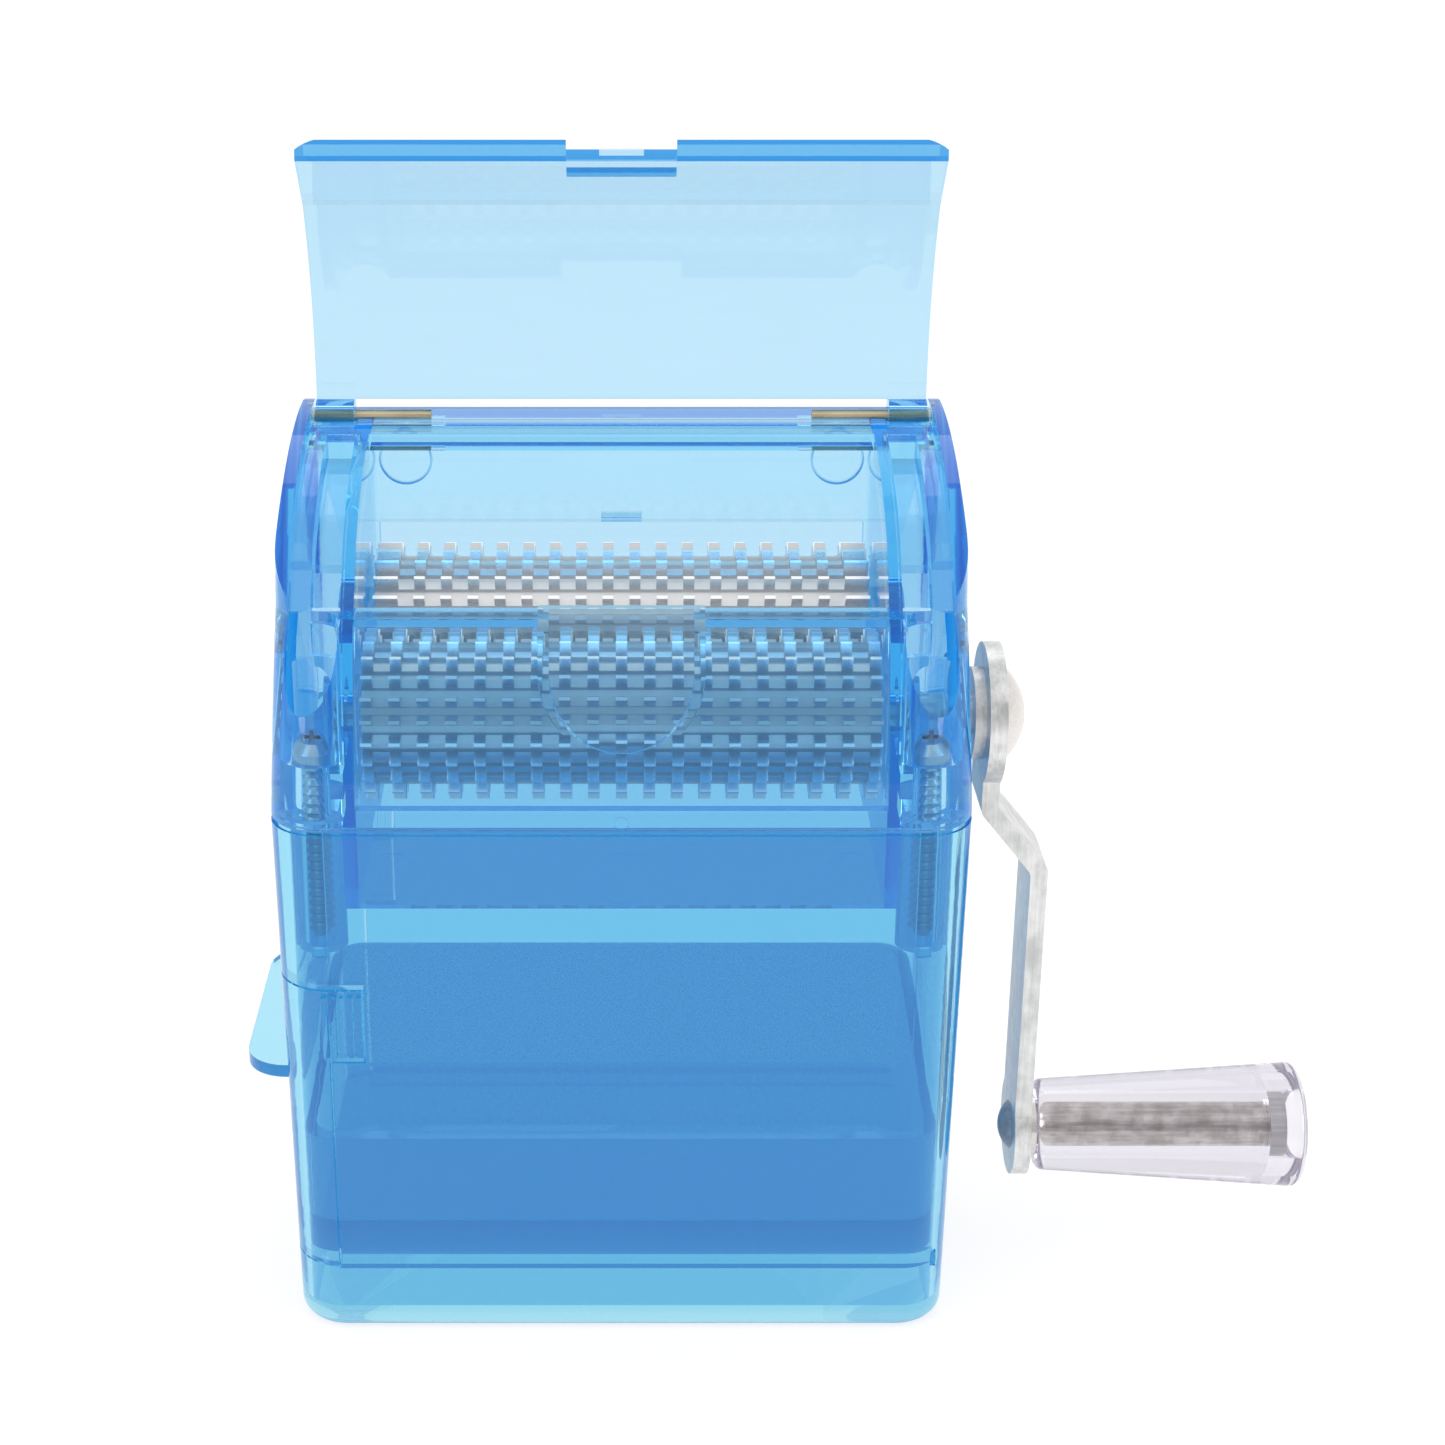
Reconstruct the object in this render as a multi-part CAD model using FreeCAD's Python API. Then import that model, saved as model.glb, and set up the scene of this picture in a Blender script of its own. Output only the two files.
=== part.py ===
import FreeCAD, Part
import math
import os

from FreeCAD import Vector

# A hand-cranked grinder box. X runs along the rollers with the crank on +X, Y runs from the front
# to the back, and Z is up. The origin is the middle of the underside. All sizes are millimetres.

# Rollers
TEETH = 24
DISC_COUNT = 19             # toothed discs on the front roller; the rear roller has one fewer
DISC_PITCH = 3.2
DISC_THICK = 1.3
TIP_R = 9.9
ROOT_R = 7.7
GROOVE_R = 8.2              # the bar is turned down to this between the discs
TIP_HALF_DEG = 1.2          # half of a tooth's angle at its tip and at its root
ROOT_HALF_DEG = 4.7
MESH_GAP = 0.8             # between a tooth's tip and the other roller's roots
ROLLER_TILT_DEG = 14.5      # how far the rear axis rises above the front one
FRONT_AXIS_RISE = 8.6       # above the seam
SHAFT_R = 2.5
HUB_R = 4.5
BEARING_LENGTH = 2.5        # of the bosses that stand out into the side pockets
RUN_GAP = 0.05              # radial clearance of a shaft that turns in a bore

# Housings
ROLLER_FRONT_SPACE = 5.3    # from the front face to the teeth
ROLLER_BACK_SPACE = 1.1     # from the teeth to the rear wall
ROLLER_END_GAP = 0.55
CHAMBER_WALL = 1.5
SIDE_POCKET = 6.5
WALL = 2.0
FLOOR = 3.0
SEAM_Z = 66.6
BASE_DRAFT = 0.65
TOP_DRAFT = 1.5
CORNER_R = 6.0
BASE_EDGE_R = 2.0
SEAM_GROOVE = 0.35
SKIRT_DROP = 10.0
SKIRT_GAP = 0.2
RIM_DEPTH = 6.3             # the front rim of the hatch: from the front face, and above the seam
RIM_RISE = 23.3
RIM_SHELF = (3.9, 1.5)      # depth and height of the thick edge along the rim
FRONT_BOW = 0.8
SHOULDER_DEPTH = 13.0
SHOULDER_RISE = 31.0
TOP_RISE = 39.2
TOP_CROWN = 2.0
REAR_TOP_R = 5.5
BOSS_R = 2.85
BOSS_DROP = 16.2
BOSS_FROM_FRONT = 6.0
BOSS_FROM_SIDE = 5.4
BOSS_WEB = 1.6

# Marks that the moulds leave
MARK_DEEP = 0.2
EJECTOR_R = 3.3
EJECTOR_RING = 0.3
BACK_MARK_X = 26.5
BACK_MARK_RISE = 31.2       # above the seam
BACK_SLOT = (5.0, 1.0, 23.3)    # width, height, and rise above the seam
SKIRT_MARK_X = 26.0
SKIRT_MARK_DROP = 6.8
GATE_R = 0.8
GATE_RISE = 1.1

# Lid, hatch and hinge
LID_THICK = 1.8
LID_GAP = 0.2
LID_SIDE_GAP = 0.3
LID_OPEN_DEG = 95.6
RIM_SIDE = 2.8              # from the side face to the hatch's rebate
REBATE_LAND = 2.2
TROUGH = 3.0
SHELF = 2.0
HINGE_FROM_BACK = 6.0
HINGE_RISE = 37.4
LID_TO_AXIS = 2.0
LEDGE_DEPTH = 6.5           # from the hinge axis forwards
PIN_R = 0.75
PIN_INNER_X = 23.0
GROOVE_INNER_X = 21.3
GROOVE_FLAT = 0.015
KNUCKLE_R = 2.0
KNUCKLE_LENGTH = 4.6
KNUCKLE_GAP = 0.3
TAB_WIDTH = 5.0
TAB_THICK = 0.9
TAB_INSET = 1.2             # from the lip's outer edge
TAB_DROP = 1.5
THUMB_NOTCH = (12.5, 0.8, 3.5)  # width, depth, height
SCOOP_WIDTH = 16.2
SCOOP_RISE = 9.0
SCOOP_DEPTH = 3.4           # at the rim; the scoop fades out towards its foot
SCOOP_FOOT_DEPTH = 2.0
SCOOP_WALL = 1.3

# Drawer
DRAWER_Z = 9.3
DRAWER_UNDER_SEAM = 20.0
DRAWER_GAP = 0.25
DRAWER_WALL = 1.5
DRAWER_FLOOR = 3.8
RAIL_HEIGHT = 2.0
RAIL_WIDTH = 1.6
TRAY_HEIGHT = 15.7
TRAY_BACK_RISE = 5.3        # how much higher the tray's back is than its front
TRAY_CORNER_R = 4.0
EAR_HEIGHT = 9.2
EAR_LENGTH = 10.0
EAR_RIBS = 5
EAR_RIB = (0.6, 0.35)       # width, height
TONGUE_THICK = 1.6
TONGUE_REACH = 5.2
TONGUE_INSET = 7.4
TONGUE_CORNER_R = 5.0
TONGUE_FROM_TOP = 14.5

# Crank and knob
CRANK_LENGTH = 55.0
ARM_THICK = 2.0
ARM_X = 1.8                 # from the side face at the seam to the arm's inner face
ARM_STEP = 6.2
ARM_STEP_RISE = (-1.5, -9.2)
ARM_HUB_R = 8.3
ARM_END_R = 6.1
ARM_WIDTH = 9.5
BEND_R = 1.4
WASHER_R = 5.4
WASHER_THICK = 1.3
DRIVE_FLATS = 3.8
CRANK_HEAD = (5.95, 3.0)    # radius, height
CRANK_SCREW_R = 1.3
CRANK_SCREW_LENGTH = 9.0
CRANK_CROSS = (4.4, 0.9)    # span and width of the recess's bars
KNOB_LENGTH = 32.4
KNOB_R = (5.55, 7.7)
KNOB_EDGE_R = 1.0
SLEEVE_R = 2.75
SLEEVE_BORE_R = 1.6
SLEEVE_LENGTH = 28.5
KNOB_FLANGE = (4.0, 2.0)
KNOB_WASHER = (4.0, 1.0)
RIVET_HEAD = (3.0, 1.3)

# Housing screws
SCREW_R = 1.5
SCREW_ROOT_R = 1.1
SCREW_PITCH = 1.1
SCREW_SEAT = 6.8            # above the seam
SCREW_TIP = 14.6            # below the seam
SCREW_HEAD = (2.75, 2.0)
SCREW_CROSS = (2.6, 0.7)
SCREW_POINT = 0.6           # of the root's radius, at the tip
THREAD = (0.7, 0.35, 0.7)   # where the first ridge starts, peaks and ends, in pitches
HEAD_ROUND = 0.6            # of the head's radius and height, where its edge is turned
HEAD_RECESS = 0.45          # of the head's height, where the cross begins
SCREW_BORE_R = 1.7
COUNTERBORE_R = 3.1

# Derived sizes
TILT = math.radians(ROLLER_TILT_DEG)
ROLLER_CENTRES = TIP_R + ROOT_R + MESH_GAP
ROLLER_HALF = (DISC_COUNT - 1) / 2 * DISC_PITCH + DISC_THICK / 2
CHAMBER_HALF = ROLLER_HALF + ROLLER_END_GAP
CHAMBER_OUT = CHAMBER_HALF + CHAMBER_WALL
HALF_WIDTH = CHAMBER_OUT + SIDE_POCKET + WALL
DEPTH = (ROLLER_FRONT_SPACE + 2 * TIP_R + ROLLER_CENTRES * math.cos(TILT)
         + ROLLER_BACK_SPACE + WALL)
FRONT = -DEPTH / 2
BACK = DEPTH / 2
FRONT_AXIS = (FRONT + ROLLER_FRONT_SPACE + TIP_R, SEAM_Z + FRONT_AXIS_RISE)
REAR_AXIS = (FRONT_AXIS[0] + ROLLER_CENTRES * math.cos(TILT),
             FRONT_AXIS[1] + ROLLER_CENTRES * math.sin(TILT))
HINGE = (BACK - HINGE_FROM_BACK, SEAM_Z + HINGE_RISE)
TOP_Z = SEAM_Z + TOP_RISE
RIM_Z = SEAM_Z + RIM_RISE
TOP_HALF = HALF_WIDTH - TOP_DRAFT
REBATE_HALF = TOP_HALF - RIM_SIDE / 2
HATCH_HALF = REBATE_HALF - REBATE_LAND
LID_HALF = REBATE_HALF - LID_SIDE_GAP
POCKET_OUT = TOP_HALF - CHAMBER_WALL / 2
LEDGE_FRONT = HINGE[0] - LEDGE_DEPTH
BOSS_X = HALF_WIDTH - BOSS_FROM_SIDE
BOSS_Y = FRONT + BOSS_FROM_FRONT
FACE_TOP = SEAM_Z - DRAWER_UNDER_SEAM
ARM_IN = HALF_WIDTH + ARM_X
ARM_LOW = ARM_IN + ARM_STEP
KNOB_Z = FRONT_AXIS[1] - CRANK_LENGTH
KNOB_X = ARM_LOW + ARM_THICK + KNOB_WASHER[1] + 2 * RUN_GAP
BEARING_END = CHAMBER_OUT + BEARING_LENGTH
BIG = 400.0


def box(x, y, z):
    """A block from three (low, high) pairs."""
    solid = Part.makeBox(x[1] - x[0], y[1] - y[0], z[1] - z[0])
    return solid.translated(Vector(x[0], y[0], z[0]))


def rod(radius, x, centre):
    """A cylinder along X about a (y, z) centre, from x[0] to x[1]."""
    return Part.makeCylinder(radius, x[1] - x[0], Vector(x[0], *centre), Vector(1, 0, 0))


def post(radius, z, centre):
    """A cylinder along Z about an (x, y) centre, from z[0] to z[1]."""
    return Part.makeCylinder(radius, z[1] - z[0], Vector(*centre, z[0]))


def along_x(face, x):
    """Extrude a face in the YZ plane from x[0] to x[1]."""
    return face.translated(Vector(x[0], 0, 0)).extrude(Vector(x[1] - x[0], 0, 0))


def both_sides(shape):
    """The shape and its mirror image in the middle plane."""
    return [shape, shape.mirror(Vector(0, 0, 0), Vector(1, 0, 0))]


def fuse(shapes):
    """One solid from a list of shapes."""
    return shapes[0].multiFuse(shapes[1:]).removeSplitter()


def rounded_outline(x, y, radius, z):
    """A closed wire: a rectangle with round corners at height z."""
    x0, x1 = x
    y0, y1 = y
    cut = radius * (1 - math.sqrt(0.5))
    spots = [((x0 + radius, y0), (x1 - radius, y0), (x1 - cut, y0 + cut)),
             ((x1, y0 + radius), (x1, y1 - radius), (x1 - cut, y1 - cut)),
             ((x1 - radius, y1), (x0 + radius, y1), (x0 + cut, y1 - cut)),
             ((x0, y1 - radius), (x0, y0 + radius), (x0 + cut, y0 + cut))]
    edges = []
    for index, (start, end, middle) in enumerate(spots):
        after = spots[(index + 1) % 4][0]
        edges.append(Part.makeLine(Vector(*start, z), Vector(*end, z)))
        edges.append(Part.Arc(Vector(*end, z), Vector(*middle, z), Vector(*after, z)).toShape())
    return Part.Wire(edges)


def rounded_block(x, y, z, radius):
    """A block whose upright edges are round."""
    return Part.Face(rounded_outline(x, y, radius, z[0])).extrude(Vector(0, 0, z[1] - z[0]))


def plan(shrink, z, front=0.0):
    """The housing's outline, smaller by shrink on the sides and further back by front."""
    return rounded_outline((-HALF_WIDTH + shrink, HALF_WIDTH - shrink),
                           (FRONT + front, BACK), CORNER_R, z)


def bowed(start, end, bow):
    """An arc in the YZ plane whose middle stands off its chord by bow, to the left of its run."""
    dy, dz = end[0] - start[0], end[1] - start[1]
    length = math.hypot(dy, dz)
    middle = ((start[0] + end[0]) / 2 - bow * dz / length, (start[1] + end[1]) / 2 + bow * dy / length)
    return Part.Arc(Vector(0, *start), Vector(0, *middle), Vector(0, *end)).toShape()


def line(start, end):
    """A straight edge in the YZ plane."""
    return Part.makeLine(Vector(0, *start), Vector(0, *end))


def side_profile(inset=0.0):
    """The upper housing seen from its side, moved inwards by inset."""
    rim = (FRONT + RIM_DEPTH, RIM_Z)
    shoulder = (FRONT + SHOULDER_DEPTH, SEAM_Z + SHOULDER_RISE)
    lid_rear = (HINGE[0] - LID_TO_AXIS, TOP_Z)
    turn = (BACK - REAR_TOP_R, TOP_Z)
    turned = (BACK, TOP_Z - REAR_TOP_R)
    middle = (turn[0] + REAR_TOP_R * math.sqrt(0.5), turned[1] + REAR_TOP_R * math.sqrt(0.5))
    round_top = Part.Arc(Vector(0, *turn), Vector(0, *middle), Vector(0, *turned)).toShape()
    face = Part.Face(Part.Wire([
        bowed((FRONT, SEAM_Z), rim, FRONT_BOW),
        line(rim, shoulder),
        bowed(shoulder, lid_rear, TOP_CROWN),
        line(lid_rear, turn),
        round_top,
        line(turned, (BACK, SEAM_Z)),
        line((BACK, SEAM_Z), (FRONT, SEAM_Z))]))
    return face.makeOffset2D(-inset) if inset else face


def upper_envelope():
    """The outside of the upper housing with its hatch closed."""
    sections = []
    for step in range(4):
        part = step / 3
        front = RIM_DEPTH * part - 4 * FRONT_BOW * part * (1 - part)
        sections.append(plan(TOP_DRAFT * part * RIM_RISE / TOP_RISE, SEAM_Z + RIM_RISE * part, front))
    lower = Part.makeLoft(sections, True, False)
    over = TOP_Z + 1
    upper = Part.makeLoft([plan(TOP_DRAFT * RIM_RISE / TOP_RISE, RIM_Z, RIM_DEPTH),
                           plan(TOP_DRAFT * (over - SEAM_Z) / TOP_RISE, over, RIM_DEPTH)], True, True)
    above = box((-BIG, BIG), (-BIG, BIG), (RIM_Z, BIG))
    capped = upper.common(along_x(side_profile(), (-HALF_WIDTH, HALF_WIDTH)).common(above))
    return lower.fuse(capped).removeSplitter()


def lower_envelope():
    """The outside of the lower housing, a little smaller at its base, with a round lower edge."""
    base = rounded_outline((-HALF_WIDTH + BASE_DRAFT, HALF_WIDTH - BASE_DRAFT),
                           (FRONT + BASE_DRAFT, BACK - BASE_DRAFT), CORNER_R, 0)
    solid = Part.makeLoft([base, plan(0, SEAM_Z)], True, True)
    bottom = [edge for edge in solid.Edges if edge.BoundBox.ZMax < 0.01]
    return solid.makeFillet(BASE_EDGE_R, bottom)


def seam_ring(z):
    """The shallow groove that runs round the outside at the seam."""
    outer = Part.Face(rounded_outline((-BIG, BIG), (-BIG, BIG), CORNER_R, z[0]))
    inner = Part.Face(rounded_outline(
        (-HALF_WIDTH + SEAM_GROOVE, HALF_WIDTH - SEAM_GROOVE),
        (FRONT + SEAM_GROOVE, BACK - SEAM_GROOVE), CORNER_R - SEAM_GROOVE, z[0]))
    return outer.cut(inner).extrude(Vector(0, 0, z[1] - z[0]))


def scoop(grow):
    """The finger scoop's U in the front wall, larger all round by grow."""
    radius = SCOOP_WIDTH / 2
    centre_z = SEAM_Z + SCOOP_RISE + radius
    outline = Part.makeCylinder(radius + grow, DEPTH, Vector(0, FRONT - DEPTH / 2, centre_z), Vector(0, 1, 0))
    tall = box((-radius - grow, radius + grow), (FRONT - DEPTH / 2, BACK - DEPTH / 2), (centre_z, RIM_Z + 1))
    low = (FRONT - RIM_DEPTH, SEAM_Z)
    start = (FRONT + SCOOP_FOOT_DEPTH + grow, SEAM_Z + SCOOP_RISE)
    end = (FRONT + RIM_DEPTH + SCOOP_DEPTH + grow, RIM_Z)
    slope = (end[0] - start[0]) / (end[1] - start[1])
    top = (end[0] + slope, RIM_Z + 1)
    foot = (start[0] - slope * (start[1] - low[1]), low[1])
    ahead = Part.Face(Part.makePolygon([
        Vector(0, *low), Vector(0, *foot), Vector(0, *top), Vector(0, low[0], top[1]), Vector(0, *low)]))
    return outline.fuse(tall).common(along_x(ahead, (-HALF_WIDTH, HALF_WIDTH)))


def hatch_cuts():
    """The rebate that the lid lies in, the trough beside the hatch, and the way through."""
    rebate = side_profile(LID_THICK + LID_GAP)
    above_rim = box((-REBATE_HALF, REBATE_HALF), (FRONT, HINGE[0]), (RIM_Z, TOP_Z + 1))
    lid_space = above_rim.cut(along_x(rebate, (-HALF_WIDTH, HALF_WIDTH)))
    behind = box((-REBATE_HALF, REBATE_HALF), (HINGE[0] - LID_TO_AXIS, BACK + 1),
                 (TOP_Z - LID_THICK - LID_GAP, TOP_Z + 1))
    deep = side_profile(LID_THICK + LID_GAP + TROUGH)
    hatch = box((-HATCH_HALF, HATCH_HALF), (FRONT + RIM_DEPTH, LEDGE_FRONT), (SEAM_Z, TOP_Z + 1))
    trough = hatch.common(along_x(rebate, (-HATCH_HALF, HATCH_HALF)))
    trough = trough.cut(along_x(deep, (-HALF_WIDTH, HALF_WIDTH)))
    rib = box((CHAMBER_HALF, CHAMBER_OUT), (FRONT, BACK), (SEAM_Z, TOP_Z))
    return [lid_space, behind] + [trough.cut(fuse_pair(rib))]


def fuse_pair(shape):
    """The shape and its mirror image as one compound."""
    return Part.makeCompound(both_sides(shape))


def chamber_cut():
    """The space that holds the rollers, open below and through the hatch."""
    span = (-CHAMBER_HALF, CHAMBER_HALF)
    wall = along_x(side_profile(WALL), span).common(box(span, (FRONT, BACK), (SEAM_Z, RIM_Z)))
    under_ledge = along_x(side_profile(LID_THICK + LID_GAP + SHELF), span)
    way_in = box(span, (FRONT + RIM_DEPTH + 1, LEDGE_FRONT), (RIM_Z - 4, TOP_Z + 1))
    way_in = way_in.common(along_x(side_profile(WALL), span))
    skirt = box(span, (FRONT + WALL + SKIRT_GAP + CHAMBER_WALL, BACK - WALL - SKIRT_GAP - CHAMBER_WALL),
                (SEAM_Z - SKIRT_DROP - 1, SEAM_Z + WALL))
    return [wall, under_ledge, way_in, skirt]


def screw_columns():
    """The round columns that the housing screws pass down in the upper housing."""
    column = post(COUNTERBORE_R + CHAMBER_WALL, (SEAM_Z, TOP_Z), (BOSS_X, BOSS_Y))
    return fuse_pair(column)


def side_pockets():
    """The hollows between the chamber and the side walls, open below."""
    span = (CHAMBER_OUT, POCKET_OUT)
    low = along_x(side_profile(WALL), span).common(box(span, (FRONT, BACK), (SEAM_Z, RIM_Z - 6)))
    high = along_x(side_profile(LID_THICK + LID_GAP + TROUGH + SHELF), span)
    foot = box(span, (FRONT + WALL, BACK - WALL), (SEAM_Z - 1, SEAM_Z + WALL))
    pocket = fuse([low, high, foot])
    bearings = [rod(HUB_R, (CHAMBER_OUT, BEARING_END), axis) for axis in (FRONT_AXIS, REAR_AXIS)]
    return [side.cut(screw_columns()) for side in both_sides(pocket.cut(Part.makeCompound(bearings)))]


def hinge_cuts():
    """The pins' grooves and holes, and the pockets that the knuckles turn in."""
    cuts = []
    knuckle_in = REBATE_HALF - KNUCKLE_LENGTH - 2 * KNUCKLE_GAP
    reach = KNUCKLE_R + KNUCKLE_GAP
    pin_end = REBATE_HALF + PIN_R
    for side in both_sides(rod(PIN_R, (GROOVE_INNER_X, pin_end), HINGE)):
        cuts.append(side)
    groove = rounded_block((GROOVE_INNER_X - PIN_R, knuckle_in + 1), (HINGE[0] - PIN_R, HINGE[0] + PIN_R),
                           (HINGE[1], TOP_Z + 1), PIN_R - GROOVE_FLAT)
    pocket = box((knuckle_in, REBATE_HALF), (HINGE[0] - reach, HINGE[0] + reach),
                 (HINGE[1] - reach, TOP_Z + 1))
    return cuts + both_sides(groove) + both_sides(pocket)


def mark_ring(centre, y):
    """A round ejector mark: a fine ring sunk into a wall that faces the front or the back."""
    foot = Vector(centre[0], y[0], centre[1])
    outer, inner = (Part.makeCylinder(radius, y[1] - y[0], foot, Vector(0, 1, 0))
                    for radius in (EJECTOR_R, EJECTOR_R - EJECTOR_RING))
    return outer.cut(inner)


def mould_marks():
    """Ejector rings and a slot inside the back wall, rings inside the skirt, and the gate's pit."""
    back = (BACK - WALL - 1, BACK - WALL + MARK_DEEP)
    skirt_in = FRONT + WALL + SKIRT_GAP + CHAMBER_WALL
    skirt = (skirt_in - MARK_DEEP, skirt_in + 1)
    marks = [mark_ring((x, SEAM_Z + BACK_MARK_RISE), back) for x in (-BACK_MARK_X, BACK_MARK_X)]
    marks += [mark_ring((x, SEAM_Z - SKIRT_MARK_DROP), skirt) for x in (-SKIRT_MARK_X, 0, SKIRT_MARK_X)]
    width, height, rise = BACK_SLOT
    marks.append(box((-width / 2, width / 2), back, (SEAM_Z + rise, SEAM_Z + rise + height)))
    marks.append(Part.makeCylinder(GATE_R, MARK_DEEP * 3, Vector(0, FRONT - MARK_DEEP, SEAM_Z + GATE_RISE),
                                   Vector(0, 1, 0)))
    return marks


def make_upper_housing():
    """Housing over the rollers: shell, chamber, hatch, hinge ledge, scoop and skirt in one moulding."""
    shell = upper_envelope()
    shell = shell.cut(hatch_cuts()).cut(chamber_cut()).cut(side_pockets())
    gap = WALL + SKIRT_GAP
    skirt = box((-CHAMBER_OUT, CHAMBER_OUT), (FRONT + gap, BACK - gap), (SEAM_Z - SKIRT_DROP, SEAM_Z + WALL))
    inner = box((-CHAMBER_HALF, CHAMBER_HALF), (FRONT + gap + CHAMBER_WALL, BACK - gap - CHAMBER_WALL),
                (SEAM_Z - SKIRT_DROP - 1, SEAM_Z + WALL + 1))
    scoop_wall = scoop(SCOOP_WALL).common(along_x(side_profile(), (-HALF_WIDTH, HALF_WIDTH)))
    scoop_wall = scoop_wall.common(box((-BIG, BIG), (-BIG, BIG), (SEAM_Z + SCOOP_RISE - SCOOP_WALL, RIM_Z)))
    edge_y = FRONT + RIM_DEPTH
    edge = box((-REBATE_HALF, REBATE_HALF), (edge_y, edge_y + RIM_SHELF[0]), (RIM_Z - RIM_SHELF[1], RIM_Z))
    shell = fuse([shell, skirt.cut(inner), scoop_wall, edge])
    cuts = [scoop(0.0), seam_ring((SEAM_Z, SEAM_Z + SEAM_GROOVE))] + hinge_cuts() + mould_marks()
    for axis in (FRONT_AXIS, REAR_AXIS):
        cuts.append(rod(SHAFT_R + RUN_GAP, (-BEARING_END - 1, BEARING_END + 1), axis))
    cuts.append(rod(SHAFT_R + RUN_GAP, (CHAMBER_HALF, HALF_WIDTH + 1), FRONT_AXIS))
    for x in (-BOSS_X, BOSS_X):
        cuts.append(post(SCREW_BORE_R, (SEAM_Z - 1, TOP_Z), (x, BOSS_Y)))
        cuts.append(post(COUNTERBORE_R, (SEAM_Z + SCREW_SEAT, TOP_Z + 1), (x, BOSS_Y)))
    return shell.cut(cuts).removeSplitter()


def drawer_region(grow):
    """Where the drawer's front takes the place of the lower housing's left end."""
    end = box((-HALF_WIDTH - BIG, -HALF_WIDTH + CORNER_R + grow), (-BIG, BIG),
              (DRAWER_Z - grow, FACE_TOP + grow))
    ears = box((-HALF_WIDTH - BIG, -HALF_WIDTH + EAR_LENGTH + grow), (-BIG, BIG),
               (FACE_TOP - EAR_HEIGHT - grow, FACE_TOP + grow))
    return end.fuse(ears).removeSplitter()


def lower_cavity(z):
    """The space inside the lower housing's walls."""
    return rounded_block((-HALF_WIDTH + WALL, HALF_WIDTH - WALL), (FRONT + WALL, BACK - WALL),
                         z, CORNER_R - WALL)


def make_lower_housing():
    """Open box under the rollers that holds the drawer on two rails."""
    shell = lower_envelope().cut(lower_cavity((FLOOR, SEAM_Z + 1)))
    extras = []
    rail_top = DRAWER_Z + RAIL_HEIGHT / 2
    for y in (FRONT + WALL, BACK - WALL - RAIL_WIDTH):
        extras.append(box((-HALF_WIDTH + CORNER_R, HALF_WIDTH - WALL), (y, y + RAIL_WIDTH),
                          (rail_top - RAIL_HEIGHT, rail_top)))
    foot_z = SEAM_Z - BOSS_DROP
    for x in (-BOSS_X, BOSS_X):
        side = math.copysign(HALF_WIDTH - WALL / 2, x)
        extras.append(post(BOSS_R, (foot_z, SEAM_Z), (x, BOSS_Y)))
        extras.append(box((x - BOSS_WEB / 2, x + BOSS_WEB / 2), (FRONT + WALL / 2, BOSS_Y), (foot_z, SEAM_Z)))
        extras.append(box((min(x, side), max(x, side)), (BOSS_Y - BOSS_WEB / 2, BOSS_Y + BOSS_WEB / 2),
                          (foot_z, SEAM_Z)))
    shell = fuse([shell] + extras)
    cuts = [drawer_region(DRAWER_GAP), seam_ring((SEAM_Z - SEAM_GROOVE, SEAM_Z))]
    for x in (-BOSS_X, BOSS_X):
        cuts.append(post(SCREW_R, (SEAM_Z - SCREW_TIP - 1, SEAM_Z + 1), (x, BOSS_Y)))
    return shell.cut(cuts).removeSplitter()


def make_drawer():
    """Tray with the housing's left end as its front, ribbed ears and a tongue to pull it by."""
    ring = lower_envelope().cut(lower_cavity((-1, SEAM_Z + 1)))
    front = ring.common(drawer_region(0.0))
    low = DRAWER_Z + RAIL_HEIGHT / 2 + DRAWER_GAP
    side = (FRONT + WALL + DRAWER_GAP, BACK - WALL - DRAWER_GAP)
    ends = (-HALF_WIDTH + WALL, HALF_WIDTH - WALL - DRAWER_GAP)
    top = low + TRAY_HEIGHT
    back_top = top + TRAY_BACK_RISE
    slope = Part.Face(Part.makePolygon([
        Vector(0, side[0], top), Vector(0, side[1], back_top), Vector(0, side[1], back_top + 1),
        Vector(0, side[0], back_top + 1), Vector(0, side[0], top)]))
    tray = rounded_block(ends, side, (low, back_top), TRAY_CORNER_R)
    tray = tray.cut(rounded_block((ends[0] + DRAWER_WALL, ends[1] - DRAWER_WALL),
                                  (side[0] + DRAWER_WALL, side[1] - DRAWER_WALL),
                                  (low + DRAWER_FLOOR, back_top + 1), TRAY_CORNER_R - DRAWER_WALL))
    tray = tray.cut(along_x(slope, (-HALF_WIDTH, HALF_WIDTH)))
    bridge = box((-HALF_WIDTH + WALL / 2, -HALF_WIDTH + WALL + DRAWER_WALL),
                 (side[0] + TRAY_CORNER_R, side[1] - TRAY_CORNER_R), (low, top))
    tongue_z = FACE_TOP - TONGUE_FROM_TOP
    tongue = rounded_block((-HALF_WIDTH - TONGUE_REACH, HALF_WIDTH),
                           (FRONT + TONGUE_INSET, BACK - TONGUE_INSET),
                           (tongue_z - TONGUE_THICK / 2, tongue_z + TONGUE_THICK / 2), TONGUE_CORNER_R)
    tongue = tongue.common(box((-BIG, -HALF_WIDTH + WALL / 2), (-BIG, BIG), (0, SEAM_Z)))
    return fuse([front, tray, bridge, tongue] + ear_ribs())


def ear_ribs():
    """Upright grip ribs on the drawer's two ears, standing proud of the housing's faces."""
    ribs = []
    width, height = EAR_RIB
    first = -HALF_WIDTH + CORNER_R - width
    step = (EAR_LENGTH - CORNER_R) / (EAR_RIBS - 1)
    z = (FACE_TOP - EAR_HEIGHT + width, FACE_TOP - width)
    for index in range(EAR_RIBS):
        x = first + index * step
        for y in (FRONT, BACK):
            ribs.append(box((x, x + width), (y - height, y + height), z))
    return ribs


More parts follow.
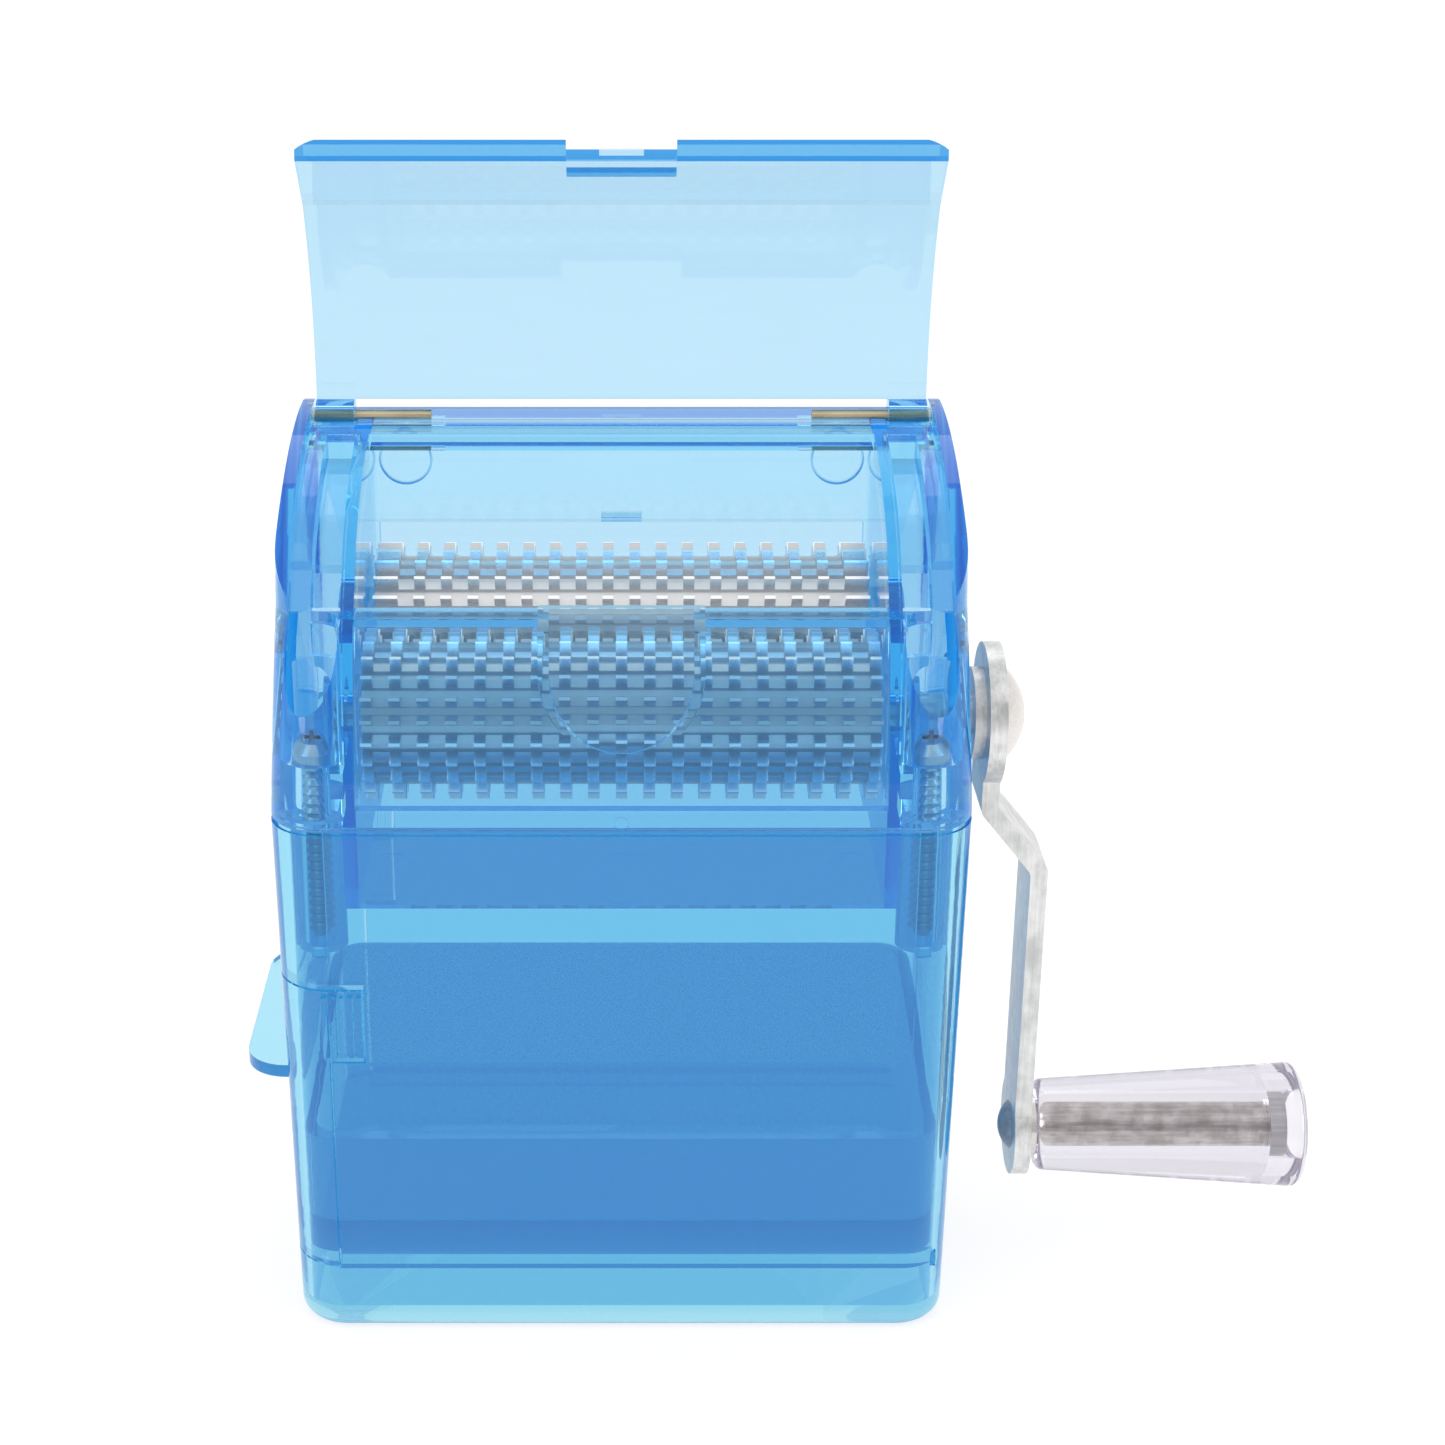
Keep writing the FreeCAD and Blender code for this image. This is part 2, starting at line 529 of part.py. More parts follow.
def make_lid():
    """The hatch's lid, drawn closed and then turned open about its hinge."""
    shape = along_x(side_profile(), (-LID_HALF, LID_HALF))
    shape = shape.cut(along_x(side_profile(LID_THICK), (-HALF_WIDTH, HALF_WIDTH)))
    shape = shape.common(box((-LID_HALF, LID_HALF), (FRONT, HINGE[0] - LID_TO_AXIS),
                             (RIM_Z + LID_GAP, TOP_Z + 1)))
    shape = shape.common(upper_envelope())
    tab_y = FRONT + RIM_DEPTH + TAB_INSET
    tab = box((-TAB_WIDTH / 2, TAB_WIDTH / 2), (tab_y, tab_y + TAB_THICK),
              (RIM_Z - TAB_DROP, RIM_Z + 1))
    notch_width, notch_depth, notch_height = THUMB_NOTCH
    notch = along_x(side_profile().cut(side_profile(notch_depth)), (-notch_width / 2, notch_width / 2))
    notch = notch.common(box((-BIG, BIG), (-BIG, BIG), (RIM_Z, RIM_Z + notch_height)))
    outer = REBATE_HALF - KNUCKLE_GAP
    knuckles = []
    for span in ((outer - KNUCKLE_LENGTH, outer), (-outer, KNUCKLE_LENGTH - outer)):
        barrel = rod(KNUCKLE_R, span, HINGE)
        arm = box(span, (HINGE[0] - LID_TO_AXIS - LID_THICK, HINGE[0]), (TOP_Z - LID_THICK, TOP_Z))
        knuckles.append(barrel.fuse(arm))
    lid = fuse([shape.cut(notch), tab] + knuckles)
    lid = lid.cut([rod(PIN_R + RUN_GAP, (-HALF_WIDTH, HALF_WIDTH), HINGE)])
    lid.rotate(Vector(0, *HINGE), Vector(1, 0, 0), -LID_OPEN_DEG)
    return lid


def make_hinge_pin():
    """One plain pin that lies in the ledge's groove with its outer end in the side wall."""
    return rod(PIN_R, (PIN_INNER_X, REBATE_HALF + PIN_R - RUN_GAP), HINGE)


def toothed_disc(x, axis, turn):
    """A disc with straight-sided teeth between x[0] and x[1], its first tooth at angle turn."""
    points = []
    for tooth in range(TEETH):
        middle = turn + math.radians(360 / TEETH * tooth)
        for radius, swing in ((ROOT_R, -ROOT_HALF_DEG), (TIP_R, -TIP_HALF_DEG),
                              (TIP_R, TIP_HALF_DEG), (ROOT_R, ROOT_HALF_DEG)):
            angle = middle + math.radians(swing)
            points.append(Vector(0, axis[0] + radius * math.cos(angle), axis[1] + radius * math.sin(angle)))
    face = Part.Face(Part.makePolygon(points + points[:1]))
    return along_x(face, x)


def make_roller(axis, count, end_extra, turn):
    """A toothed bar turned down between its discs; end_extra lengthens the outermost discs outwards."""
    whole = (-ROLLER_HALF, ROLLER_HALF)
    solids = [toothed_disc(whole, axis, turn).common(rod(GROOVE_R, whole, axis))]
    for index in range(count):
        x = (index - (count - 1) / 2) * DISC_PITCH
        low, high = x - DISC_THICK / 2, x + DISC_THICK / 2
        if index == 0:
            low -= end_extra
        if index == count - 1:
            high += end_extra
        solids.append(toothed_disc((low, high), axis, turn))
    hub = rod(HUB_R, (-CHAMBER_HALF + RUN_GAP * 4, CHAMBER_HALF - RUN_GAP * 4), axis)
    roller = fuse(solids + [hub])
    return roller.cut([rod(SHAFT_R, (-HALF_WIDTH, HALF_WIDTH), axis)])


def make_front_shaft():
    """Steel shaft of the driven roller, flattened where the crank arm sits."""
    left = -BEARING_END
    right = ARM_IN + ARM_THICK - 2 * RUN_GAP
    shaft = rod(SHAFT_R, (left, right), FRONT_AXIS)
    half = DRIVE_FLATS / 2
    for low, high in ((half, BIG), (-BIG, -half)):
        shaft = shaft.cut(box((ARM_IN, right + 1), (FRONT_AXIS[0] + low, FRONT_AXIS[0] + high), (-BIG, BIG)))
    tapped = rod(CRANK_SCREW_R, (right - CRANK_SCREW_LENGTH, right + 1), FRONT_AXIS)
    return shaft.cut([tapped])


def make_rear_shaft():
    """Plain steel shaft of the second roller."""
    return rod(SHAFT_R, (-BEARING_END, BEARING_END), REAR_AXIS)


def make_crank_washer():
    """Thick washer on the shaft between the housing and the crank arm."""
    washer = rod(WASHER_R, (ARM_IN - WASHER_THICK, ARM_IN), FRONT_AXIS)
    return washer.cut([rod(SHAFT_R, (HALF_WIDTH - 1, ARM_IN + 1), FRONT_AXIS)])


def make_crank_arm():
    """Flat steel arm with a joggle outwards, wide at the hub and round at both ends."""
    top = FRONT_AXIS[1] + ARM_HUB_R
    bottom = KNOB_Z - ARM_END_R
    high, low = SEAM_Z + ARM_STEP_RISE[0], SEAM_Z + ARM_STEP_RISE[1]
    lean = ARM_THICK * (math.hypot(ARM_STEP, high - low) - (high - low)) / ARM_STEP
    points = [(ARM_IN, top), (ARM_IN, high - lean), (ARM_LOW, low - lean), (ARM_LOW, bottom),
              (ARM_LOW + ARM_THICK, bottom), (ARM_LOW + ARM_THICK, low), (ARM_IN + ARM_THICK, high),
              (ARM_IN + ARM_THICK, top)]
    corners = [Vector(x, 0, z) for x, z in points]
    strip = Part.Face(Part.makePolygon(corners + corners[:1]))
    half = ARM_HUB_R + 1
    strip = strip.translated(Vector(0, FRONT_AXIS[0] - half, 0)).extrude(Vector(0, 2 * half, 0))
    bends = [edge for edge in strip.Edges
             if edge.BoundBox.YLength > half and bottom + 1 < edge.BoundBox.ZMin < top - 1]
    strip = strip.makeFillet(BEND_R, bends)
    span = (HALF_WIDTH, ARM_LOW + ARM_THICK + 1)
    outline = fuse([
        rod(ARM_HUB_R, span, FRONT_AXIS),
        rod(ARM_END_R, span, (FRONT_AXIS[0], KNOB_Z)),
        box(span, (FRONT_AXIS[0] - ARM_WIDTH / 2, FRONT_AXIS[0] + ARM_WIDTH / 2), (KNOB_Z, FRONT_AXIS[1]))])
    hole = rod(SHAFT_R + RUN_GAP, span, FRONT_AXIS).common(
        box(span, (FRONT_AXIS[0] - DRIVE_FLATS / 2 - RUN_GAP, FRONT_AXIS[0] + DRIVE_FLATS / 2 + RUN_GAP),
            (FRONT_AXIS[1] - BIG, BIG)))
    rivet_hole = rod(SLEEVE_BORE_R, span, (FRONT_AXIS[0], KNOB_Z))
    return strip.common(outline).cut([hole, rivet_hole])


def dome(radius, height, x, centre):
    """A domed screw head that grows from x along +X about a (y, z) centre."""
    ball_r = (radius * radius + height * height) / (2 * height)
    ball = Part.makeSphere(ball_r, Vector(x + height - ball_r, *centre))
    return ball.common(rod(radius, (x, x + height + 1), centre))


def make_crank_screw():
    """Domed cross-head screw that holds the arm on the shaft."""
    radius, height = CRANK_HEAD
    start = ARM_IN + ARM_THICK
    head = dome(radius, height, start, FRONT_AXIS)
    shank = rod(CRANK_SCREW_R, (start - CRANK_SCREW_LENGTH + 1, start + 1), FRONT_AXIS)
    slot_x = (start + height / 2, start + height + 1)
    y, z = FRONT_AXIS
    span, width = (size / 2 for size in CRANK_CROSS)
    cross = [box(slot_x, (y - span, y + span), (z - width, z + width)),
             box(slot_x, (y - width, y + width), (z - span, z + span))]
    return fuse([head, shank]).cut(cross)


def make_knob():
    """Tapered clear knob that turns on its sleeve."""
    x_end = KNOB_X + KNOB_LENGTH
    centre = (FRONT_AXIS[0], KNOB_Z)
    cone = Part.makeCone(KNOB_R[0], KNOB_R[1], KNOB_LENGTH, Vector(KNOB_X, *centre), Vector(1, 0, 0))
    rims = [edge for edge in cone.Edges if edge.BoundBox.XLength < 0.01]
    cone = cone.makeFillet(KNOB_EDGE_R, rims)
    bore = rod(SLEEVE_R + RUN_GAP, (KNOB_X - 1, x_end + 1), centre)
    recess = rod(KNOB_FLANGE[0] + LID_SIDE_GAP,
                 (ARM_LOW + ARM_THICK + KNOB_WASHER[1] + SLEEVE_LENGTH - 2 * RUN_GAP, x_end + 1), centre)
    return cone.cut([bore, recess])


def make_knob_sleeve():
    """Steel tube that the knob turns on."""
    start = ARM_LOW + ARM_THICK + KNOB_WASHER[1]
    centre = (FRONT_AXIS[0], KNOB_Z)
    tube = rod(SLEEVE_R, (start, start + SLEEVE_LENGTH), centre)
    return tube.cut([rod(SLEEVE_BORE_R, (start - 1, start + SLEEVE_LENGTH + 1), centre)])


def make_knob_washer():
    """Thin collar between the crank arm and the knob."""
    start = ARM_LOW + ARM_THICK
    centre = (FRONT_AXIS[0], KNOB_Z)
    washer = rod(KNOB_WASHER[0], (start, start + KNOB_WASHER[1]), centre)
    return washer.cut([rod(SLEEVE_BORE_R, (start - 1, start + KNOB_WASHER[1] + 1), centre)])


def make_knob_rivet():
    """Long rivet through the arm, the collar and the sleeve, with a wide flange at its outer end."""
    centre = (FRONT_AXIS[0], KNOB_Z)
    sleeve_end = ARM_LOW + ARM_THICK + KNOB_WASHER[1] + SLEEVE_LENGTH
    stem = rod(SLEEVE_BORE_R, (ARM_LOW - RIVET_HEAD[1] / 2, sleeve_end + 1), centre)
    flange = rod(KNOB_FLANGE[0], (sleeve_end, sleeve_end + KNOB_FLANGE[1]), centre)
    head = dome(RIVET_HEAD[0], RIVET_HEAD[1], 0, (0, 0))
    head = head.mirror(Vector(0, 0, 0), Vector(1, 0, 0)).translated(Vector(ARM_LOW, *centre))
    return fuse([stem, flange, head])


def make_housing_screw(x):
    """One pan-head screw with a ridged thread, pointing down."""
    radius, height = SCREW_HEAD
    seat, tip = SEAM_Z + SCREW_SEAT, SEAM_Z - SCREW_TIP
    turns = int((seat - tip) / SCREW_PITCH) - 1
    start, peak, end = THREAD
    points = [(0, tip), (SCREW_ROOT_R * SCREW_POINT, tip)]
    for turn in range(turns):
        z = tip + SCREW_PITCH * (turn + start)
        points += [(SCREW_ROOT_R, z), (SCREW_R, z + SCREW_PITCH * peak),
                   (SCREW_ROOT_R, z + SCREW_PITCH * end)]
    points += [(SCREW_ROOT_R, seat), (radius, seat), (radius, seat + height * HEAD_ROUND),
               (radius * HEAD_ROUND, seat + height), (0, seat + height), (0, tip)]
    face = Part.Face(Part.makePolygon([Vector(r, 0, z) for r, z in points]))
    screw = face.revolve(Vector(0, 0, 0), Vector(0, 0, 1), 360)
    recess_z = (seat + height * HEAD_RECESS, seat + height + 1)
    span, width = (size / 2 for size in SCREW_CROSS)
    cross = [box((-span, span), (-width, width), recess_z), box((-width, width), (-span, span), recess_z)]
    return screw.cut(cross).translated(Vector(x, BOSS_Y, 0))


def build():
    """Every node of the grinder by name."""
    pins = both_sides(make_hinge_pin())
    mesh_turn = TILT + math.radians(180 + 180 / TEETH)
    screws = Part.makeCompound([make_housing_screw(x) for x in (-BOSS_X, BOSS_X)])
    return {
        "upper_housing": make_upper_housing(),
        "lower_housing": make_lower_housing(),
        "housing_screws": screws,
        "lid": make_lid(),
        "hinge_pin_right": pins[0],
        "hinge_pin_left": pins[1],
        "drawer": make_drawer(),
        "front_roller": make_roller(FRONT_AXIS, DISC_COUNT, 0.0, TILT),
        "rear_roller": make_roller(REAR_AXIS, DISC_COUNT - 1, DISC_PITCH / 2, mesh_turn),
        "front_shaft": make_front_shaft(),
        "rear_shaft": make_rear_shaft(),
        "crank_washer": make_crank_washer(),
        "crank_arm": make_crank_arm(),
        "crank_screw": make_crank_screw(),
        "knob": make_knob(),
        "knob_sleeve": make_knob_sleeve(),
        "knob_washer": make_knob_washer(),
        "knob_rivet": make_knob_rivet(),
    }


def main():
    """Write one STEP file for each node."""
    os.makedirs("parts", exist_ok=True)
    for name, shape in build().items():
        shape.exportStep(os.path.join("parts", name + ".step"))
        bounds = shape.BoundBox
        print(f"{name:18s} solids {len(shape.Solids)} valid {shape.isValid()} volume {shape.Volume:9.1f} "
              f"x {bounds.XMin:6.1f} {bounds.XMax:6.1f} y {bounds.YMin:6.1f} {bounds.YMax:6.1f} "
              f"z {bounds.ZMin:6.1f} {bounds.ZMax:6.1f}")


main()
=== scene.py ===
import logging
import math
from dataclasses import dataclass, replace
from enum import Enum
from typing import Any, Sequence, Union

import bpy
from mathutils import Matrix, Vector


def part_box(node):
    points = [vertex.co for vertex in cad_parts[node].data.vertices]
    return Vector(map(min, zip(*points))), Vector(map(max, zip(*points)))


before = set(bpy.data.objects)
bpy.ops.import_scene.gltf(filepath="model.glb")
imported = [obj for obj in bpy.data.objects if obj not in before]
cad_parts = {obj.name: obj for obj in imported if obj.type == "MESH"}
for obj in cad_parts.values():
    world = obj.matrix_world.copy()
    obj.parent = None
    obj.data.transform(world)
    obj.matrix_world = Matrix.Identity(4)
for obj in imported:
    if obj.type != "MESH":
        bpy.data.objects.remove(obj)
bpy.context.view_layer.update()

LOG = logging.getLogger("grinder")
MM = 0.001
LONGEST_PATH = 16
MIX_FACTOR, MIX_LOW, MIX_HIGH, MIX_RESULT = 0, 6, 7, 2

Colour = tuple[float, float, float]
Operand = Union["Value", float]


class Axis(Enum):
    """A direction of the row frame."""

    X = 0
    Y = 1
    Z = 2


class Value:
    """A number socket that takes part in plain arithmetic."""

    def __init__(self, tree: bpy.types.NodeTree, socket: bpy.types.NodeSocket) -> None:
        """Wrap one output socket of a node tree."""
        self.tree = tree
        self.socket = socket

    def _maths(self, operation: str, *operands: Operand) -> "Value":
        """Add one Math node.

        Args:
            operation: The node's operation.
            operands: Its inputs in order.

        Returns:
            The node's result.
        """
        node = self.tree.nodes.new("ShaderNodeMath")
        node.operation = operation
        for socket, operand in zip(node.inputs, operands):
            if isinstance(operand, Value):
                self.tree.links.new(operand.socket, socket)
            else:
                socket.default_value = operand
        return Value(self.tree, node.outputs[0])

    def __add__(self, other: Operand) -> "Value":
        """Sum."""
        return self._maths("ADD", self, other)

    def __radd__(self, other: Operand) -> "Value":
        """Sum, reflected."""
        return self._maths("ADD", other, self)

    def __sub__(self, other: Operand) -> "Value":
        """Difference."""
        return self._maths("SUBTRACT", self, other)

    def __rsub__(self, other: Operand) -> "Value":
        """Difference, reflected."""
        return self._maths("SUBTRACT", other, self)

    def __mul__(self, other: Operand) -> "Value":
        """Product."""
        return self._maths("MULTIPLY", self, other)

    def __rmul__(self, other: Operand) -> "Value":
        """Product, reflected."""
        return self._maths("MULTIPLY", other, self)

    def __truediv__(self, other: Operand) -> "Value":
        """Quotient."""
        return self._maths("DIVIDE", self, other)

    def __pow__(self, other: Operand) -> "Value":
        """Power."""
        return self._maths("POWER", self, other)

    def clamped(self) -> "Value":
        """The value held between nought and one."""
        return self._maths("MINIMUM", self._maths("MAXIMUM", self, 0.0), 1.0)

    def smooth(self, low: float, high: float) -> "Value":
        """A smooth step.

        Args:
            low: Where the step leaves nought.
            high: Where it reaches one.

        Returns:
            The eased value.
        """
        node = self.tree.nodes.new("ShaderNodeMapRange")
        node.interpolation_type = "SMOOTHSTEP"
        self.tree.links.new(self.socket, node.inputs["Value"])
        node.inputs["From Min"].default_value = low
        node.inputs["From Max"].default_value = high
        return Value(self.tree, node.outputs["Result"])


class NodeTree:
    """A shader's node tree and the few ways that nodes are added to it."""

    def __init__(self, tree: bpy.types.NodeTree) -> None:
        """Empty the tree.

        Args:
            tree: The material's or the world's node tree.
        """
        self.tree = tree
        self.tree.nodes.clear()

    def node(self, kind: str, settings: dict[str, Any] | None = None,
             sockets: dict[str, Any] | None = None) -> bpy.types.Node:
        """Add any node.

        Args:
            kind: The node's type.
            settings: Its properties, set first.
            sockets: Values, Value objects or sockets for its inputs, by name or number.

        Returns:
            The node.
        """
        made = self.tree.nodes.new(kind)
        for key, value in (settings or {}).items():
            setattr(made, key, value)
        for key, value in (sockets or {}).items():
            target = made.inputs[key]
            if isinstance(value, Value):
                self.tree.links.new(value.socket, target)
            elif isinstance(value, bpy.types.NodeSocket):
                self.tree.links.new(value, target)
            else:
                target.default_value = value
        return made

    def value(self, socket: bpy.types.NodeSocket) -> Value:
        """Wrap a socket for arithmetic."""
        return Value(self.tree, socket)

    def place(self, stretch: Sequence[float] = (1.0, 1.0, 1.0)) -> bpy.types.NodeSocket:
        """The surface's place in its own frame.

        Args:
            stretch: What each axis is multiplied by.

        Returns:
            A vector socket.
        """
        coordinates = self.node("ShaderNodeTexCoord")
        scaled = self.node("ShaderNodeVectorMath", {"operation": "MULTIPLY"},
                           {0: coordinates.outputs["Object"], 1: tuple(stretch)})
        return scaled.outputs[0]

    def noise(self, scale: float, detail: float = 3.0, roughness: float = 0.5,
              stretch: Sequence[float] = (1.0, 1.0, 1.0)) -> Value:
        """Soft random variation.

        Args:
            scale: How many blobs there are to a metre.
            detail: How many finer layers lie on top.
            roughness: How strong the finer layers are.
            stretch: What each axis is multiplied by first.

        Returns:
            A value from nought to one.
        """
        made = self.node("ShaderNodeTexNoise", None,
                         {"Vector": self.place(stretch), "Scale": scale, "Detail": detail,
                          "Roughness": roughness})
        return self.value(made.outputs["Fac"])

    def mix(self, factor: Operand, low: Colour, high: Colour) -> bpy.types.NodeSocket:
        """Blend two colours.

        Args:
            factor: Nought for low and one for high.
            low: The first colour.
            high: The second colour.

        Returns:
            A colour socket.
        """
        made = self.node("ShaderNodeMix", {"data_type": "RGBA"},
                         {MIX_FACTOR: factor, MIX_LOW: (*low, 1.0), MIX_HIGH: (*high, 1.0)})
        return made.outputs[MIX_RESULT]

    def bump(self, height: Value, strength: float, distance: float) -> bpy.types.NodeSocket:
        """Turn a height into a normal.

        Args:
            height: The surface's height from nought to one.
            strength: How much of it shows.
            distance: What one stands for, in metres.

        Returns:
            A normal socket.
        """
        made = self.node("ShaderNodeBump", None,
                         {"Height": height, "Strength": strength, "Distance": distance})
        return made.outputs[0]


class Palette(NodeTree):
    """One material's node tree."""

    def __init__(self, name: str) -> None:
        """Start an empty material.

        Args:
            name: The material's name.
        """
        self.material = bpy.data.materials.new(name)
        self.material.use_nodes = True
        super().__init__(self.material.node_tree)
        self.output = self.node("ShaderNodeOutputMaterial")

    def finish(self, surface: bpy.types.Node) -> bpy.types.Material:
        """Join the surface shader to the output and hand the material over."""
        self.tree.links.new(surface.outputs[0], self.output.inputs["Surface"])
        return self.material


@dataclass(frozen=True)
class Sparkle:
    """A patch of fine dots that spark erosion left on one face of a moulding."""

    from_y: float
    z_span: tuple[float, float]
    dots_per_metre: float = 2300.0
    dot_edge: tuple[float, float] = (0.2, 0.45)
    patch_edge: float = 0.0003
    roughens: float = 0.4
    raises: float = 1.5

    def make(self, palette: Palette) -> Value:
        """Build the pattern.

        Args:
            palette: The material that it belongs to.

        Returns:
            One on the dots and nought elsewhere.
        """
        place = palette.node("ShaderNodeSeparateXYZ", None, {0: palette.place()})
        depth = palette.value(place.outputs["Y"])
        height = palette.value(place.outputs["Z"])
        low, high = self.z_span
        edge = self.patch_edge
        inside = (depth.smooth(self.from_y - edge, self.from_y)
                  * height.smooth(low, low + edge)
                  * (1.0 - height.smooth(high - edge, high)))
        cells = palette.node("ShaderNodeTexVoronoi", None,
                             {"Vector": palette.place(), "Scale": self.dots_per_metre})
        return inside * (1.0 - palette.value(cells.outputs["Distance"]).smooth(*self.dot_edge))


@dataclass(frozen=True)
class ClearPlastic:
    """Polished transparent moulding with faint flow marks and fine handling scratches.

    taken_per_mm is what the bulk absorbs and tint is what each skin keeps. Rays that have met
    as many skins as the glow's step says are given an even painted glow: an emission colour
    that stands in for light scattered inside real plastic.
    """

    name: str
    taken_per_mm: Colour
    tint: Colour
    # painted glow: the emission colour that stands in for scattered light, and the ray depths
    # over which it takes over
    painted_glow: Colour = (0.15, 0.50, 0.90)
    painted_glow_after: tuple[float, float] = (3.0, 8.0)
    refraction: float = 1.49
    haze: float = 0.02
    flow_scale: float = 55.0
    flow_stretch: float = 0.5
    flow_step: tuple[float, float] = (0.35, 0.8)
    flow_rough: float = 0.03
    flow_depth: float = 0.9
    skin_scale: float = 2600.0
    skin_depth: float = 0.02
    scratch_scale: float = 900.0
    scratch_stretch: float = 0.06
    scratch_step: tuple[float, float] = (0.62, 0.75)
    scratch_rough: float = 0.05
    scratch_depth: float = 0.01
    relief_strength: float = 0.5
    relief_depth: float = 0.00002
    sparkle: Sparkle | None = None

    def relief(self, palette: Palette) -> tuple[Value, Value]:
        """Work out the surface's small marks.

        Args:
            palette: The material that they belong to.

        Returns:
            The roughness and the height.
        """
        flow = palette.noise(self.flow_scale, detail=2.0, roughness=0.4,
                             stretch=(1.0, 1.0, self.flow_stretch))
        skin = palette.noise(self.skin_scale, detail=2.0, roughness=0.6)
        scratch = palette.noise(self.scratch_scale, detail=2.0,
                                stretch=(1.0, 1.0, self.scratch_stretch))
        scratch = scratch.smooth(*self.scratch_step)
        rough = (flow.smooth(*self.flow_step) * self.flow_rough + scratch * self.scratch_rough
                 + self.haze).clamped()
        height = flow * self.flow_depth + skin * self.skin_depth + scratch * self.scratch_depth
        if self.sparkle:
            dots = self.sparkle.make(palette)
            rough = (rough + dots * self.sparkle.roughens).clamped()
            height = height + dots * self.sparkle.raises
        return rough, height

    def fill(self, palette: Palette) -> None:
        """Colour the inside of the plastic.

        Args:
            palette: The material that it belongs to.
        """
        strongest = max(self.taken_per_mm)
        passed = tuple(1.0 - share / strongest for share in self.taken_per_mm)
        volume = palette.node("ShaderNodeVolumeAbsorption", None,
                              {"Color": (*passed, 1.0), "Density": strongest / MM})
        palette.tree.links.new(volume.outputs[0], palette.output.inputs["Volume"])

    def make(self) -> bpy.types.Material:
        """Build the material.

        Returns:
            The material.
        """
        palette = Palette(self.name)
        rough, height = self.relief(palette)
        skin = palette.node(
            "ShaderNodeBsdfPrincipled", None,
            {"Base Color": (*self.tint, 1.0), "IOR": self.refraction,
             "Transmission Weight": 1.0, "Roughness": rough,
             "Normal": palette.bump(height, self.relief_strength, self.relief_depth)})
        # Painted glow: after a few skins the surface turns into an even emission that stands in
        # for scattered light.
        depth = palette.value(palette.node("ShaderNodeLightPath").outputs["Ray Depth"])
        glow = palette.node("ShaderNodeEmission", None, {"Color": (*self.painted_glow, 1.0)})
        surface = palette.node("ShaderNodeMixShader", None,
                               {0: depth.smooth(*self.painted_glow_after), 1: skin.outputs[0],
                                2: glow.outputs[0]})
        self.fill(palette)
        return palette.finish(surface)


@dataclass(frozen=True)
class Metal:
    """Plain metal with a grain along one axis and a cloudy brightness."""

    name: str
    light: Colour
    dark: Colour
    rough: float
    grain_along: Axis = Axis.X
    grain_scale: float = 2400.0
    grain_stretch: float = 0.04
    grain_tone: float = 0.45
    grain_rough: float = 0.18
    grain_strength: float = 0.35
    grain_depth: float = 0.000012
    cloud_scale: float = 120.0
    cloud_tone: float = 0.55
    cloud_rough: float = 0.12
    tone_step: tuple[float, float] = (0.3, 0.7)
    metallic: float = 1.0

    def make(self) -> bpy.types.Material:
        """Build the material.

        Returns:
            The material.
        """
        palette = Palette(self.name)
        stretch = [1.0, 1.0, 1.0]
        stretch[self.grain_along.value] = self.grain_stretch
        grain = palette.noise(self.grain_scale, detail=4.0, roughness=0.65, stretch=stretch)
        cloud = palette.noise(self.cloud_scale)
        tone = (grain * self.grain_tone + cloud * self.cloud_tone).smooth(*self.tone_step)
        surface = palette.node(
            "ShaderNodeBsdfPrincipled", None,
            {"Base Color": palette.mix(tone, self.dark, self.light),
             "Metallic": self.metallic,
             "Roughness": (grain * self.grain_rough + cloud * self.cloud_rough
                           + (self.rough - self.cloud_rough)).clamped(),
             "Normal": palette.bump(grain, self.grain_strength, self.grain_depth)})
        return palette.finish(surface)


@dataclass(frozen=True)
class ToothedMetal:
    """Machined roller metal, its base colour painted darker from the teeth's tips down to the
    roots between the discs as painted shade, with random cloudy tone on top.

    axis is the roller's place in Y and Z in metres, and root_r and tip_r are in millimetres.
    """

    name: str
    axis: tuple[float, float]
    root_r: float
    tip_r: float
    turned_scale: float = 5200.0
    turned_stretch: float = 0.05
    turned_rough: float = 0.12
    turned_strength: float = 0.3
    turned_depth: float = 0.00001
    cloud_scale: float = 260.0
    cloud_share: float = 0.5
    tip_rough: float = 0.1
    root_rough: float = 0.2
    tip: Colour = (1.0, 1.0, 1.0)
    # The root colour is a painted shade for the grooves between the discs.
    painted_root_shade: Colour = (0.74, 0.75, 0.76)

    def make(self) -> bpy.types.Material:
        """Build the material.

        Returns:
            The material.
        """
        palette = Palette(self.name)
        place = palette.node("ShaderNodeSeparateXYZ", None, {0: palette.place()})
        off_y = palette.value(place.outputs["Y"]) - self.axis[0]
        off_z = palette.value(place.outputs["Z"]) - self.axis[1]
        radius = (off_y * off_y + off_z * off_z) ** 0.5
        turned = palette.noise(self.turned_scale, roughness=0.6,
                               stretch=(1.0, self.turned_stretch, self.turned_stretch))
        cloud = palette.noise(self.cloud_scale, roughness=0.6)
        # Painted shade: the colour darkens from the teeth's tips down to the roots between the
        # discs, and random cloudy tone is added to it.
        painted_groove_shade_and_cloud = ((radius / MM).smooth(self.root_r, self.tip_r)
                + (cloud - 0.5) * self.cloud_share).clamped()
        surface = palette.node(
            "ShaderNodeBsdfPrincipled", None,
            {"Base Color": palette.mix(painted_groove_shade_and_cloud, self.painted_root_shade, self.tip), "Metallic": 1.0,
             "Roughness": ((1.0 - painted_groove_shade_and_cloud) * self.root_rough + turned * self.turned_rough
                           + self.tip_rough).clamped(),
             "Normal": palette.bump(turned, self.turned_strength, self.turned_depth)})
        return palette.finish(surface)


